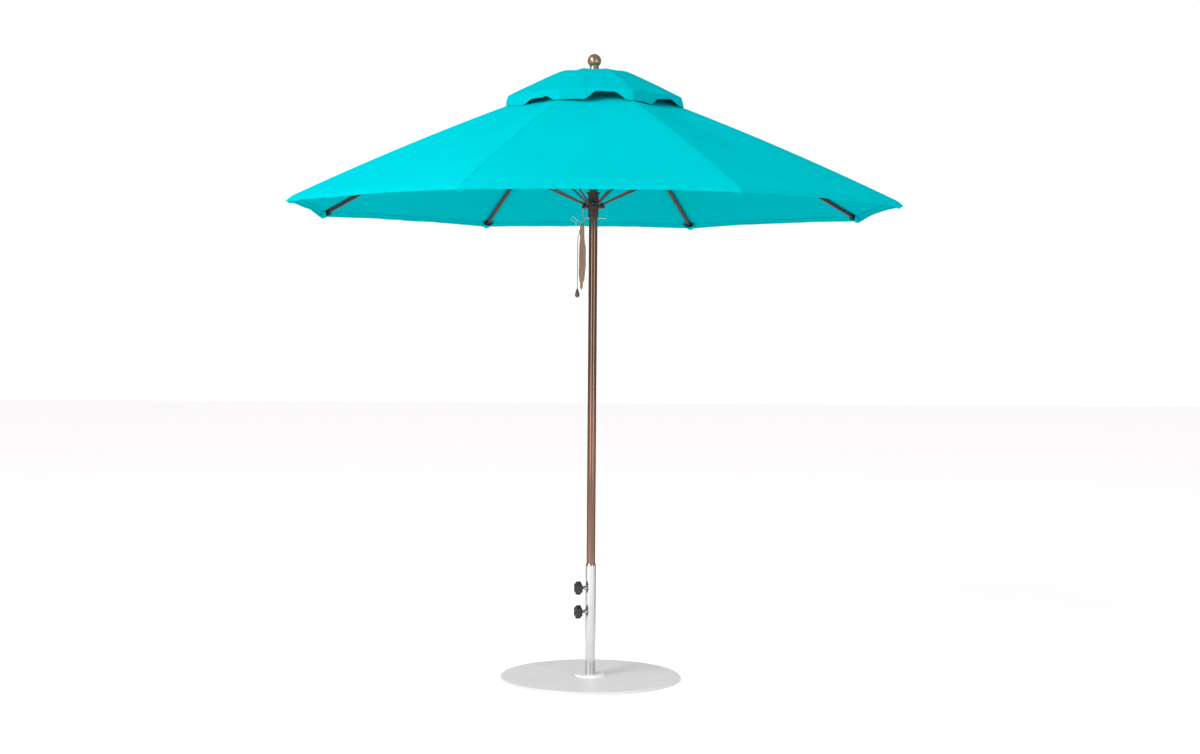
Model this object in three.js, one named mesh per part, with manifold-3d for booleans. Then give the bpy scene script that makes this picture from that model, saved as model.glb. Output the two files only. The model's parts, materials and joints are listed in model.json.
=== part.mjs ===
// A market umbrella on a round steel stand: a rope-lifted, eight-rib canopy with a wind vent.
// Millimetres, +Z up. The origin is the centre of the stand plate's underside.
import * as THREE from "three";
import { mergeVertices } from "three/addons/utils/BufferGeometryUtils.js";
import Module from "manifold-3d";

const wasm = await Module();
wasm.setup();

// ---- driving dimensions ----
const GAP = 0.3; // between pieces that touch
const RIBS = 8;
const RIB_STEP = (2 * Math.PI) / RIBS;
const TAU = 2 * Math.PI;

// canopy: the cloth's top face along a rib, a bowed line from the crown to the corner
const CANOPY_R = 1371.6; // half of 9 ft, corner to corner
const CROWN_R = 42; // hinge circle of the ribs, and of the struts on the runner
const CANOPY_TOP_Z = 2634;
const CANOPY_RIM_Z = 2064; // where the ribs' line reaches CANOPY_R
const CANOPY_BOW = 21;
const HEM_BEND_R = 1352; // past the ribs' ends the hem bends down
const CANOPY_HEM_Z = 2055;
const CLOTH = 2;
const CANOPY_HOLE_R = 250; // the opening under the vent cap

// wind vent cap
const CAP_R = 402;
const CAP_EDGE_Z = 2539;
const CAP_HEM_Z = 2503;
const CAP_TOP_Z = 2667;
const CAP_HOLE_R = 6; // for the finial's screw
const ARCH_HALF = 88; // half the width of an arch in the hanging hem
const ARCH_CLEAR = 3; // from the top of an arch to the roof's underside

// ribs and struts
const RIB_W = 12;
const RIB_H = 16;
const RIB_WALL = 1.2;
const RIB_DROP = 5.6; // from the cloth's top face to the rib's top face
const RIB_START_R = 72;
const RIB_END_R = 1345;
const LEAF = 6; // thickness of a rib's tongue and of a strut
const EYE_R = 7;
const WIRE_R = 1.8;
const PIN_HOLE_R = { rib: 2.5, strut: 2.8, ear: 3 };
const STRUT_PIN_R = 2.4;
const EAR_HALF = 16; // half the length of a rib's bracket where it meets the rib
const EAR_ROUND_R = 8;
const TIP_LENGTH = 34;
const TIP_WALL = 1.4;
const CROWN_Z = 2616; // height of the rib hinges
const RUNNER_Z = 2086; // height of the strut hinges on the runner
const JOINT_R = 650; // where a strut meets its rib
const JOINT_Z = (CROWN_Z + RUNNER_Z) / 2; // so that rib arm and strut are equally long
const STRUT_H = 12;

// pole
const POLE_R = 19;
const POLE_WALL = 1.6;
const POLE_FOOT_Z = 24.6; // the plug's flange under it is 6 mm thick
const POLE_JOINT_Z = 873;
const POLE_TOP_Z = 2650;
const COUPLER_HALF = 115;
const PLUG_BORE_R = 4.4; // for the finial's screw
const BALL_R = 30;
const BALL_Z = 2713;

// runner, lock pin and rope
const SLEEVE_R = 23;
const SLEEVE_BOTTOM_Z = 2031;
const RUNNER_TOP_Z = 2138;
const RUNNER_NECK_R = 24;
const RUNNER_DISC = { radius: 31.5, thick: 6 };
const FLANGE_R = 51.5;
const FLANGE_Z = [2069, 2079];
const SLOT_HALF = 3.5;
const SLOT_INNER_R = 33;
const PIN_Z = 2027;
const PIN_R = 3;
const PIN_TURN = Math.PI / 12; // the pin's line, turned from the X axis
const CLIP_R = 1.2;
const ROPE_R = 2;
const PULLEY_X = -36.6;
const PULLEY_Z = 2580;
const SHEAVE_R = 9.6; // rope's centre line on the sheave
const SHEAVE_HALF = 4; // half the sheave's width
const AXLE_R = 2.5;
const ROPE_OUT_X = PULLEY_X - SHEAVE_R;
const ROPE_IN_X = PULLEY_X + SHEAVE_R;
const ROPE_END_Z = FLANGE_Z[0] - 2;

// stand
const PLATE_R = 396;
const PLATE_H = 12;
const FLANGE_FOOT_R = 67;
const STEM_R = 22.5;
const STEM_BORE_R = 20.2;
const STEM_Z = [18.6, 498];
const COLLAR_H = 7.5;
const COLLAR_BORE_R = 19.5;
const KNOB_ZS = { upper: 400, lower: 295 };
const SCREW_R = 3.5;
const KNOB_TURN = Math.PI + Math.PI / 9; // the knobs' direction about Z
const BOSS_FACE_X = 36; // outer end of a boss, from the stem's axis
const KNOB_HEAD_X = 49; // near face of a knob's lobes
const KNOB_HEAD_H = 18;
const KNOB_R = 23.5; // between its lobes' crests and hollows
const KNOB_LOBES = 6;
const LOBE_DEPTH = 3.2;

// ---- materials ----
const finish = (color, roughness, metalness) =>
  new THREE.MeshStandardMaterial({ color, roughness, metalness });
const cloth = finish(0x00c8d2, 0.9, 0);
const bronze = finish(0x5a3a28, 0.35, 0.6);
const ribPaint = finish(0x4a2420, 0.45, 0.5);
const blackPlastic = finish(0x161616, 0.5, 0);
const brownPlastic = finish(0x3a2820, 0.5, 0);
const zinc = finish(0xb8b8b4, 0.4, 1);
const polished = finish(0xe0e0e0, 0.15, 1);
const plateSteel = finish(0xc8c8c6, 0.4, 1);
const ropeFibre = finish(0x6a5040, 0.95, 0);

// ---- solids ----
// A closed three.js geometry as a solid, with its faces turned outwards.
function solid(geometry) {
  const g = geometry.index ? geometry.toNonIndexed() : geometry.clone();
  g.deleteAttribute("normal");
  g.deleteAttribute("uv");
  const merged = mergeVertices(g, 1e-3);
  const p = merged.attributes.position;
  const index = [];
  const corner = [0, 1, 2].map(() => new THREE.Vector3());
  let volume = 0;
  for (let i = 0; i < merged.index.count; i += 3) {
    const t = [0, 1, 2].map((k) => merged.index.getX(i + k));
    if (t[0] === t[1] || t[1] === t[2] || t[2] === t[0]) continue;
    t.forEach((v, k) => corner[k].fromBufferAttribute(p, v));
    volume += corner[0].dot(corner[1].clone().cross(corner[2]));
    index.push(t);
  }
  if (volume < 0) index.forEach((t) => t.reverse());
  return new wasm.Manifold(
    new wasm.Mesh({
      numProp: 3,
      vertProperties: p.array,
      triVerts: new Uint32Array(index.flat()),
    }),
  );
}

const join = (first, ...rest) => rest.reduce((a, b) => a.add(solid(b)), solid(first));
const cut = (body, ...tools) => tools.reduce((a, b) => a.subtract(solid(b)), body);

function geometryOf(body) {
  const m = body.getMesh();
  return new THREE.BufferGeometry()
    .setAttribute("position", new THREE.BufferAttribute(m.vertProperties, 3))
    .setIndex(new THREE.BufferAttribute(m.triVerts, 1));
}

const root = new THREE.Group();

function add(name, shape, material, turn = 0) {
  const body = shape.isBufferGeometry ? solid(shape) : shape;
  const mesh = new THREE.Mesh(geometryOf(body), material);
  mesh.name = name;
  mesh.rotation.z = turn;
  root.add(mesh);
}

// A solid of revolution about Z from [radius, height] points.
function turned(points, segments = 28, start = 0) {
  const profile = points.map(([r, z]) => new THREE.Vector2(r, z));
  return new THREE.LatheGeometry(profile, segments, start).rotateX(Math.PI / 2);
}

// A ring of rectangular section about Z.
const ring = (inner, outer, z0, z1, segments) =>
  turned([[inner, z0], [outer, z0], [outer, z1], [inner, z1], [inner, z0]], segments);

// A cylinder along X, Y or Z, from one place on that axis to another.
function rod(radius, axis, from, to, segments = 24) {
  const g = new THREE.CylinderGeometry(radius, radius, to - from, segments);
  g.translate(0, (from + to) / 2, 0);
  if (axis === "x") g.rotateZ(-Math.PI / 2);
  if (axis === "z") g.rotateX(Math.PI / 2);
  return g;
}

function block(x0, x1, y0, y1, z0, z1) {
  const g = new THREE.BoxGeometry(x1 - x0, y1 - y0, z1 - z0);
  return g.translate((x0 + x1) / 2, (y0 + y1) / 2, (z0 + z1) / 2);
}

// An outline in the radius-height plane, made as thick as width across that plane.
function plate(outline, width, offset = 0) {
  const g = new THREE.ExtrudeGeometry(outline, {
    depth: width,
    bevelEnabled: false,
    curveSegments: 4,
  });
  return g.rotateX(Math.PI / 2).translate(0, offset + width / 2, 0);
}

// A round bar along a curve.
function bar(curve, radius, steps, sides = 8) {
  const section = new THREE.Shape();
  for (let i = 0; i < sides; i++) {
    const a = (i / sides) * TAU;
    section[i ? "lineTo" : "moveTo"](radius * Math.cos(a), radius * Math.sin(a));
  }
  return new THREE.ExtrudeGeometry(section, { steps, bevelEnabled: false, extrudePath: curve });
}

const wireRing = (z, radius) =>
  new THREE.TorusGeometry(CROWN_R, radius, 6, 32).translate(0, 0, z);

const ribAngle = (i) => RIB_STEP * (i + 0.5);

// ---- stand ----
function stand() {
  const edge = 2;
  const platePoints = [
    [0, 0],
    [PLATE_R - edge, 0],
    [PLATE_R, edge],
    [PLATE_R, PLATE_H - edge],
    [PLATE_R - edge, PLATE_H],
    [0, PLATE_H],
  ];
  add("base_plate", turned(platePoints, 72), plateSteel);
  const flangeFoot = PLATE_H + GAP;
  const flangePoints = [
    [0, flangeFoot],
    [FLANGE_FOOT_R, flangeFoot],
    [FLANGE_FOOT_R, STEM_Z[0] - 1.5],
    [FLANGE_FOOT_R - 1.5, STEM_Z[0] - GAP],
    [0, STEM_Z[0] - GAP],
  ];
  add("base_flange", turned(flangePoints, 48), polished);

  const stem = solid(ring(STEM_BORE_R, STEM_R, ...STEM_Z, 32));
  const holes = Object.values(KNOB_ZS).map((z) =>
    rod(SCREW_R + GAP, "x", 15, 30, 12).rotateZ(KNOB_TURN).translate(0, 0, z),
  );
  add("stem_tube", cut(stem, ...holes), polished);
  const collarZ = STEM_Z[1] + GAP;
  const collarPoints = [
    [COLLAR_BORE_R, collarZ],
    [STEM_R, collarZ],
    [STEM_R, collarZ + COLLAR_H - 2.5],
    [STEM_R - 1.5, collarZ + COLLAR_H],
    [COLLAR_BORE_R, collarZ + COLLAR_H],
    [COLLAR_BORE_R, collarZ],
  ];
  add("stem_collar", turned(collarPoints), zinc);
  for (const [place, z] of Object.entries(KNOB_ZS)) clampKnob(place, z);
}

// A welded nut boss on the stem, and the lobed knob whose screw clamps the pole.
function clampKnob(place, z) {
  const bossLength = 15.5;
  const boss = new THREE.CylinderGeometry(6, 12, bossLength, 24).rotateZ(-Math.PI / 2);
  boss.translate(BOSS_FACE_X - bossLength / 2, 0, 0);
  const stemSide = rod(STEM_R + GAP, "z", -30, 30, 40);
  const bored = cut(solid(boss), rod(SCREW_R + GAP, "x", 0, 60, 12), stemSide);
  const outer = bored.rotate([0, 0, THREE.MathUtils.radToDeg(KNOB_TURN)]).translate([0, 0, z]);
  add(`boss_${place}`, outer, zinc);

  const lobes = new THREE.Shape();
  const points = 36;
  for (let i = 0; i < points; i++) {
    const a = (i / points) * TAU;
    const r = KNOB_R + LOBE_DEPTH * Math.cos(KNOB_LOBES * a);
    lobes[i ? "lineTo" : "moveTo"](r * Math.cos(a), r * Math.sin(a));
  }
  const head = new THREE.ExtrudeGeometry(lobes, {
    depth: KNOB_HEAD_H,
    bevelSize: 2.8,
    bevelThickness: 3,
    bevelSegments: 1,
  });
  head.rotateY(Math.PI / 2).translate(KNOB_HEAD_X, 0, 0);
  const neckLength = 10.5;
  const neck = new THREE.CylinderGeometry(15, 6, neckLength, 24).rotateZ(-Math.PI / 2);
  neck.translate(BOSS_FACE_X + GAP + 0.1 + neckLength / 2, 0, 0);
  const screw = rod(SCREW_R, "x", POLE_R + 0.6, 46, 12);
  const knob = join(head, neck, screw).rotate([0, 0, THREE.MathUtils.radToDeg(KNOB_TURN)]);
  add(`knob_${place}`, knob.translate([0, 0, z]), blackPlastic);
}

// ---- pole ----
function pole() {
  const bore = POLE_R - POLE_WALL;
  const plugR = bore - GAP;
  const plugPoints = [
    [0, POLE_FOOT_Z - 6],
    [POLE_R, POLE_FOOT_Z - 6],
    [POLE_R, POLE_FOOT_Z - GAP],
    [plugR, POLE_FOOT_Z - GAP],
    [plugR, POLE_FOOT_Z + 20],
    [0, POLE_FOOT_Z + 20],
  ];
  add("pole_foot_plug", turned(plugPoints), blackPlastic);
  const lowerTop = POLE_JOINT_Z - GAP / 2;
  const upperFoot = POLE_JOINT_Z + GAP / 2;
  add("lower_pole", ring(bore, POLE_R, POLE_FOOT_Z, lowerTop, 32), bronze);
  const coupler = ring(plugR - 2, plugR, POLE_JOINT_Z - COUPLER_HALF, POLE_JOINT_Z + COUPLER_HALF);
  add("pole_coupler", coupler, zinc);

  const upper = solid(ring(bore, POLE_R, upperFoot, POLE_TOP_Z, 32));
  const pinHole = rod(PIN_R + 0.5, "x", -40, 40, 10).rotateZ(PIN_TURN).translate(0, 0, PIN_Z);
  add("upper_pole", cut(upper, pinHole), bronze);

  const topPoints = [
    [PLUG_BORE_R, POLE_TOP_Z - 30],
    [plugR, POLE_TOP_Z - 30],
    [plugR, POLE_TOP_Z + GAP],
    [POLE_R, POLE_TOP_Z + GAP],
    [POLE_R, CAP_TOP_Z - CLOTH - GAP],
    [PLUG_BORE_R, CAP_TOP_Z - CLOTH - GAP],
    [PLUG_BORE_R, POLE_TOP_Z - 30],
  ];
  add("pole_top_plug", turned(topPoints), brownPlastic);
}

// Turned ball finial, with the screw that goes through the vent cap into the pole's top plug.
function finial() {
  const foot = CAP_TOP_Z + GAP;
  const screwR = 4;
  const neckR = 21;
  const points = [
    [0, POLE_TOP_Z - 25],
    [screwR, POLE_TOP_Z - 25],
    [screwR, foot],
    [neckR, foot],
    [neckR, foot + 12],
    [neckR - 2, foot + 19],
  ];
  const from = Math.acos((BALL_Z - foot - 23) / BALL_R);
  for (let i = 0; i <= 10; i++) {
    const a = from + ((Math.PI - from) * i) / 10;
    points.push([i === 10 ? 0 : BALL_R * Math.sin(a), BALL_Z - BALL_R * Math.cos(a)]);
  }
  add("finial", turned(points, 28), bronze);
}

// ---- canopy ----
function canopyZ(r) {
  const t = (r - CROWN_R) / (CANOPY_R - CROWN_R);
  return CANOPY_TOP_Z + (CANOPY_RIM_Z - CANOPY_TOP_Z) * t + 4 * CANOPY_BOW * t * (1 - t);
}

// The cloth over one rib, out to the middle of the panel on each side.
function gore() {
  const steps = 10;
  const radii = [];
  for (let i = 0; i <= steps; i++) {
    radii.push(CANOPY_HOLE_R + ((HEM_BEND_R - CANOPY_HOLE_R) * i) / steps);
  }
  const top = radii.map((r) => [r, canopyZ(r)]);
  top.push([CANOPY_R, CANOPY_HEM_Z]);
  const under = radii.map((r) => [r, canopyZ(r) - CLOTH]);
  under.push([CANOPY_R - CLOTH, CANOPY_HEM_Z]);
  under.reverse();
  const whole = solid(turned([...under, ...top, under[0]], RIBS));
  const half = RIB_STEP / 2;
  const tip = GAP / 2 / Math.sin(half);
  const reach = CANOPY_R * 1.2;
  const wedge = new THREE.Shape()
    .moveTo(tip, 0)
    .lineTo(reach, -(reach - tip) * Math.tan(half))
    .lineTo(reach, (reach - tip) * Math.tan(half));
  const slice = new THREE.ExtrudeGeometry(wedge, { depth: 800, bevelEnabled: false });
  return whole.intersect(solid(slice.translate(0, 0, 1950)));
}

// The vent cap: a small octagonal roof whose hanging hem is arched open over each panel.
function ventCap() {
  const top = [
    [CAP_HOLE_R, CAP_TOP_Z],
    [60, CAP_TOP_Z],
    [154, CAP_TOP_Z - 13],
    [235, CAP_TOP_Z - 46],
    [320, CAP_TOP_Z - 88],
    [CAP_R, CAP_EDGE_Z],
    [CAP_R + 2, CAP_HEM_Z],
  ];
  const under = top.slice(0, -2).map(([r, z]) => [r, z - CLOTH]);
  under.push([CAP_R - CLOTH, CAP_EDGE_Z - CLOTH], [CAP_R + 2 - CLOTH, CAP_HEM_Z]);
  const roof = solid(turned([...under, ...top.reverse(), under[0]], RIBS, RIB_STEP / 2));
  const archRise = CAP_EDGE_Z - CLOTH - ARCH_CLEAR - CAP_HEM_Z;
  const arch = new THREE.Shape()
    .moveTo(-ARCH_HALF, -20)
    .lineTo(ARCH_HALF, -20)
    .lineTo(ARCH_HALF, 0)
    .absellipse(0, 0, ARCH_HALF, archRise, 0, Math.PI);
  const openings = [];
  for (let i = 0; i < RIBS / 2; i++) {
    const g = new THREE.ExtrudeGeometry(arch, {
      depth: 1000,
      bevelEnabled: false,
      curveSegments: 10,
    });
    g.rotateX(Math.PI / 2).translate(0, 500, CAP_HEM_Z);
    openings.push(g.rotateZ(i * RIB_STEP));
  }
  return cut(roof, ...openings);
}

// ---- ribs and struts, made in the plane of azimuth 0 ----
const ribMidZ = (r) => canopyZ(r) - RIB_DROP - RIB_H / 2;

function ribOutline(from, to, halfHeight) {
  const steps = 6;
  const shape = new THREE.Shape();
  const at = (i) => from + ((to - from) * i) / steps;
  for (let i = 0; i <= steps; i++) {
    shape[i ? "lineTo" : "moveTo"](at(i), ribMidZ(at(i)) - halfHeight);
  }
  for (let i = steps; i >= 0; i--) shape.lineTo(at(i), ribMidZ(at(i)) + halfHeight);
  return shape;
}

function rib() {
  const tube = plate(ribOutline(RIB_START_R, RIB_END_R, RIB_H / 2), RIB_W);
  const hollow = plate(
    ribOutline(RIB_START_R + 14, RIB_END_R + 10, RIB_H / 2 - RIB_WALL),
    RIB_W - 2 * RIB_WALL,
  );
  const tongueR = RIB_START_R + 8;
  const tongue = new THREE.Shape()
    .moveTo(tongueR, ribMidZ(tongueR) + EYE_R - 0.5)
    .lineTo(CROWN_R, CROWN_Z + EYE_R)
    .absarc(CROWN_R, CROWN_Z, EYE_R, Math.PI / 2, (3 * Math.PI) / 2)
    .lineTo(tongueR, ribMidZ(tongueR) - EYE_R + 0.5);
  const body = join(tube, plate(tongue, LEAF));
  const bored = cut(body, hollow, rod(PIN_HOLE_R.rib, "y", -9, 9, 8).translate(CROWN_R, 0, CROWN_Z));
  return bored.add(bracketEars());
}

// The pair of ears under the rib that carries the strut's pin.
function bracketEars() {
  const ribFoot = (r) => ribMidZ(r) - RIB_H / 2 + 0.9;
  const ear = new THREE.Shape()
    .moveTo(JOINT_R - EAR_HALF, ribFoot(JOINT_R - EAR_HALF))
    .lineTo(JOINT_R - EAR_ROUND_R, JOINT_Z)
    .absarc(JOINT_R, JOINT_Z, EAR_ROUND_R, Math.PI, TAU)
    .lineTo(JOINT_R + EAR_HALF, ribFoot(JOINT_R + EAR_HALF));
  const thick = RIB_W / 2 - LEAF / 2 - 0.6;
  const offset = RIB_W / 2 - thick / 2;
  const pair = [offset, -offset].map((y) => solid(plate(ear, thick, y)));
  const hole = rod(PIN_HOLE_R.ear, "y", -9, 9, 8).translate(JOINT_R, 0, JOINT_Z);
  return cut(pair[0], hole).add(cut(pair[1], hole));
}

// A flat bar with round ends, its eye on the runner's wire and its pin in the rib's ears.
function strut() {
  const dx = JOINT_R - CROWN_R;
  const dz = JOINT_Z - RUNNER_Z;
  const length = Math.hypot(dx, dz);
  const slope = Math.atan2(dz, dx);
  const spread = Math.acos(STRUT_H / 2 / EYE_R);
  const outline = new THREE.Shape()
    .absarc(0, 0, EYE_R, spread, TAU - spread)
    .absarc(length, 0, EYE_R, Math.PI + spread, Math.PI - spread + TAU);
  const body = solid(plate(outline, LEAF).rotateY(-slope).translate(CROWN_R, 0, RUNNER_Z));
  const eye = rod(PIN_HOLE_R.strut, "y", -9, 9, 8).translate(CROWN_R, 0, RUNNER_Z);
  const pinHalf = RIB_W / 2 + 0.5;
  const pin = rod(STRUT_PIN_R, "y", -pinHalf, pinHalf, 8).translate(JOINT_R, 0, JOINT_Z);
  return cut(body, eye).add(solid(pin));
}

// Plastic end cap over the rib's open end, which the cloth's corner pocket holds.
function ribTip() {
  const to = RIB_END_R + 4;
  const from = to - TIP_LENGTH;
  const outer = plate(ribOutline(from, to, RIB_H / 2 + TIP_WALL), RIB_W + 2 * TIP_WALL + 1);
  const socket = plate(
    ribOutline(from - 5, RIB_END_R + GAP, RIB_H / 2 + GAP),
    RIB_W + 2 * GAP,
  );
  return cut(solid(outer), socket);
}

function canopyFrame() {
  const shapes = { rib: rib(), strut: strut(), rib_tip: ribTip(), canopy_gore: gore() };
  const paints = { rib: ribPaint, strut: ribPaint, rib_tip: blackPlastic, canopy_gore: cloth };
  for (let i = 0; i < RIBS; i++) {
    for (const [name, shape] of Object.entries(shapes)) {
      add(`${name}_${i + 1}`, shape, paints[name], ribAngle(i));
    }
  }
  add("vent_cap", ventCap(), cloth);
}

// Eight radial slots, open outwards, that the rib tongues or the struts swing in.
function slots(z0, z1) {
  const all = [];
  for (let i = 0; i < RIBS; i++) {
    const slot = block(SLOT_INNER_R, 80, -SLOT_HALF, SLOT_HALF, z0 - 1, z1 + 1);
    all.push(slot.rotateZ(ribAngle(i)));
  }
  return all;
}

// ---- crown ----
function crown() {
  const z = [CROWN_Z - 14, CROWN_Z + 12];
  const axleHole = AXLE_R + GAP;
  const hubPoints = [
    [POLE_R + GAP, z[0]],
    [46, z[0]],
    [50, z[0] + 4],
    [50, z[1] - 3],
    [47, z[1]],
    [POLE_R + GAP, z[1]],
    [POLE_R + GAP, z[0]],
  ];
  const hub = cut(solid(turned(hubPoints)), ...slots(...z), wireRing(CROWN_Z, WIRE_R + 0.35));
  const cheek = new THREE.Shape()
    .moveTo(PULLEY_X + 10, z[0] + 3)
    .lineTo(PULLEY_X + 10, PULLEY_Z)
    .absarc(PULLEY_X, PULLEY_Z, 10, 0, -Math.PI, true)
    .lineTo(PULLEY_X - 10, z[0] + 3);
  const hole = rod(axleHole, "y", -12, 12, 10).translate(PULLEY_X, 0, PULLEY_Z);
  const cheeks = [5.4, -5.4].map((y) => cut(solid(plate(cheek, 2, y)), hole));
  add("crown_hub", hub.add(cheeks[0]).add(cheeks[1]), blackPlastic);
  add("crown_wire", wireRing(CROWN_Z, WIRE_R), zinc);
  add("pulley_axle", rod(AXLE_R, "y", -8, 8, 12).translate(PULLEY_X, 0, PULLEY_Z), zinc);

  const rim = SHEAVE_R + 2.4;
  const groove = SHEAVE_R - ROPE_R - GAP;
  const sheave = turned(
    [
      [axleHole, -SHEAVE_HALF],
      [rim, -SHEAVE_HALF],
      [rim, -3],
      [groove + 1, -2.5],
      [groove, -1.5],
      [groove, 1.5],
      [groove + 1, 2.5],
      [rim, 3],
      [rim, SHEAVE_HALF],
      [axleHole, SHEAVE_HALF],
      [axleHole, -SHEAVE_HALF],
    ],
    20,
  );
  add("pulley_wheel", sheave.rotateX(Math.PI / 2).translate(PULLEY_X, 0, PULLEY_Z), blackPlastic);
}

// ---- runner ----
function runner() {
  const bore = POLE_R + 0.6;
  const points = [
    [bore, SLEEVE_BOTTOM_Z],
    [SLEEVE_R, SLEEVE_BOTTOM_Z],
    [SLEEVE_R, FLANGE_Z[0]],
    [FLANGE_R, FLANGE_Z[0]],
    [FLANGE_R, FLANGE_Z[1]],
    [RUNNER_NECK_R, FLANGE_Z[1]],
    [RUNNER_NECK_R, RUNNER_TOP_Z - RUNNER_DISC.thick - 2],
    [RUNNER_DISC.radius, RUNNER_TOP_Z - RUNNER_DISC.thick],
    [RUNNER_DISC.radius, RUNNER_TOP_Z],
    [bore, RUNNER_TOP_Z],
    [bore, SLEEVE_BOTTOM_Z],
  ];
  const lug = new THREE.Shape()
    .moveTo(CROWN_R - EYE_R, FLANGE_Z[1] - 2)
    .lineTo(CROWN_R + EYE_R, FLANGE_Z[1] - 2)
    .lineTo(CROWN_R + EYE_R, RUNNER_Z)
    .absarc(CROWN_R, RUNNER_Z, EYE_R, 0, Math.PI);
  let hub = solid(turned(points));
  const sides = [SLOT_HALF + 1.25, -SLOT_HALF - 1.25];
  for (let i = 0; i < RIBS; i++) {
    for (const y of sides) hub = hub.add(solid(plate(lug, 2.5, y).rotateZ(ribAngle(i))));
  }
  const ropeHole = rod(ROPE_R + 0.8, "z", 2000, 2100, 16).translate(ROPE_OUT_X, 0, 0);
  hub = cut(hub, ...slots(FLANGE_Z[0], RUNNER_Z + EYE_R), wireRing(RUNNER_Z, WIRE_R + 0.35));
  add("runner_hub", cut(hub, ropeHole), blackPlastic);
  add("runner_wire", wireRing(RUNNER_Z, WIRE_R), zinc);
}

const spline = (points) =>
  new THREE.CatmullRomCurve3(
    points.map((p) => new THREE.Vector3(...p)),
    false,
    "centripetal",
  );

// The steel pin through the pole under the runner, bent down at its pulled end, with its wire clip.
function lockPin() {
  const line = spline([
    [58, 0, 0],
    [20, 0, 0],
    [-20, 0, 0],
    [-36, 0, 0],
    [-41, 0, -2],
    [-43, 0, -7],
    [-43, 0, -22],
  ]);
  const turn = (g) => g.rotateZ(PIN_TURN).translate(0, 0, PIN_Z);
  add("lock_pin", turn(bar(line, PIN_R, 18, 8)), zinc);
  const clip = spline([
    [-47.6, 0, -16],
    [-58, 0, -20],
    [-70, -1, -17],
    [-84, -2, -3],
    [-96, -3, 3],
    [-103, -3, -4],
    [-98, -2, -13],
    [-86, 0, -17],
    [-78, 2, -25],
    [-80, 3, -44],
  ]);
  add("pin_clip", turn(bar(clip, CLIP_R, 32, 6)), zinc);
}

// ---- rope ----
const HANK_X = [-62, -39.5]; // the rope's turns lie side by side between these
const HANK_Z = [1722, 1988]; // the ends of the turns' straight runs
const HANK_ROUND_R = 12.4; // outside of the folds at both ends

// Over the sheave, from its knot on the runner and down again through the runner's flange.
function ropeRun() {
  const falls = [
    rod(ROPE_R, "z", RUNNER_TOP_Z + GAP, PULLEY_Z + 0.5, 8).translate(ROPE_IN_X, 0, 0),
    rod(ROPE_R, "z", ROPE_END_Z, PULLEY_Z + 0.5, 8).translate(ROPE_OUT_X, 0, 0),
  ];
  const over = [];
  for (let i = 0; i <= 12; i++) {
    const a = (Math.PI * i) / 12;
    over.push([PULLEY_X + SHEAVE_R * Math.cos(a), 0, PULLEY_Z + SHEAVE_R * Math.sin(a)]);
  }
  return join(bar(spline(over), ROPE_R, 12), ...falls);
}

function rope() {
  add("lift_rope_run", ropeRun(), ropeFibre);
  const lead = spline([
    [ROPE_OUT_X, 0, ROPE_END_Z - GAP],
    [-46.1, 0.2, 2058],
    [-45.7, 1, 2048],
    [-45, 2.8, 2036],
    [-44, 5.2, 2024],
    [-42.6, 8, 2012],
    [-41.4, 10.4, 2001],
  ]);
  add("lift_rope", bar(lead, ROPE_R, 14), ropeFibre);

  const outline = new THREE.Shape()
    .absarc(0, HANK_Z[1], HANK_ROUND_R, 0, Math.PI)
    .absarc(0, HANK_Z[0], HANK_ROUND_R, Math.PI, TAU);
  const hank = plate(outline, HANK_X[1] - HANK_X[0]).rotateZ(Math.PI / 2);
  add("rope_hank", hank.translate((HANK_X[0] + HANK_X[1]) / 2, 0, 0), ropeFibre);

  const tail = spline([
    [-66.4, -7, 1938],
    [-67.2, -7.3, 1925],
    [-67.8, -7.5, 1895],
    [-68, -7.5, 1850],
    [-68, -7.5, 1800],
    [-68, -7.5, 1750],
    [-68, -7.5, 1717],
  ]);
  add("rope_tail", bar(tail, ROPE_R, 20), ropeFibre);
  const toggle = [
    [0, 1677],
    [5, 1677.8],
    [9, 1682],
    [10.5, 1688],
    [9.5, 1695],
    [6.5, 1705],
    [4, 1713],
    [3, 1716.7],
    [0, 1716.7],
  ];
  add("rope_toggle", turned(toggle, 24).translate(-68, -7.5, 0), brownPlastic);
}

stand();
pole();
finial();
canopyFrame();
crown();
runner();
lockPin();
rope();

export default root;
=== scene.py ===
import json
import math

import bpy
from mathutils import Euler, Matrix, Vector, noise


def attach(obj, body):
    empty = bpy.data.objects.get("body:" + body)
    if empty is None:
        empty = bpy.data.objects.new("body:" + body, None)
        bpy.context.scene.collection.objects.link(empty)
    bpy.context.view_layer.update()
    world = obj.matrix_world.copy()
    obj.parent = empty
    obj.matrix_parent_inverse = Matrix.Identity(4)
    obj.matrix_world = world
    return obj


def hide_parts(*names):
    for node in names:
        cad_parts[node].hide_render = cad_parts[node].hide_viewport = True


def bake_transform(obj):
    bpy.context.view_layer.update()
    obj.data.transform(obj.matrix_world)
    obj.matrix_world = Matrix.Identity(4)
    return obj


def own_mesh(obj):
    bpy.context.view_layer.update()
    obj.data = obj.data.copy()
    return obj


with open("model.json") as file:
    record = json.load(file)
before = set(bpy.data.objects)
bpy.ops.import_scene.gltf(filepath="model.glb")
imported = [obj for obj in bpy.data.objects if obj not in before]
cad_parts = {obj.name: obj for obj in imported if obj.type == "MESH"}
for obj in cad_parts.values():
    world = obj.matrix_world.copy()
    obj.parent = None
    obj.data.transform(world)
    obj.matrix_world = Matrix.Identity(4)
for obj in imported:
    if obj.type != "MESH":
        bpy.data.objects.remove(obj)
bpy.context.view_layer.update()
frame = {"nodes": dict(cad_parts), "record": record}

# ---- sizes, in metres, as the CAD has them ----
RIBS = 8
HALF_STEP = math.pi / RIBS
PANEL_ANGLE = 2 * HALF_STEP
CANOPY_R = 1.3716  # corner of the canopy
HOLE_R = 0.250  # the vent hole under the cap
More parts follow.
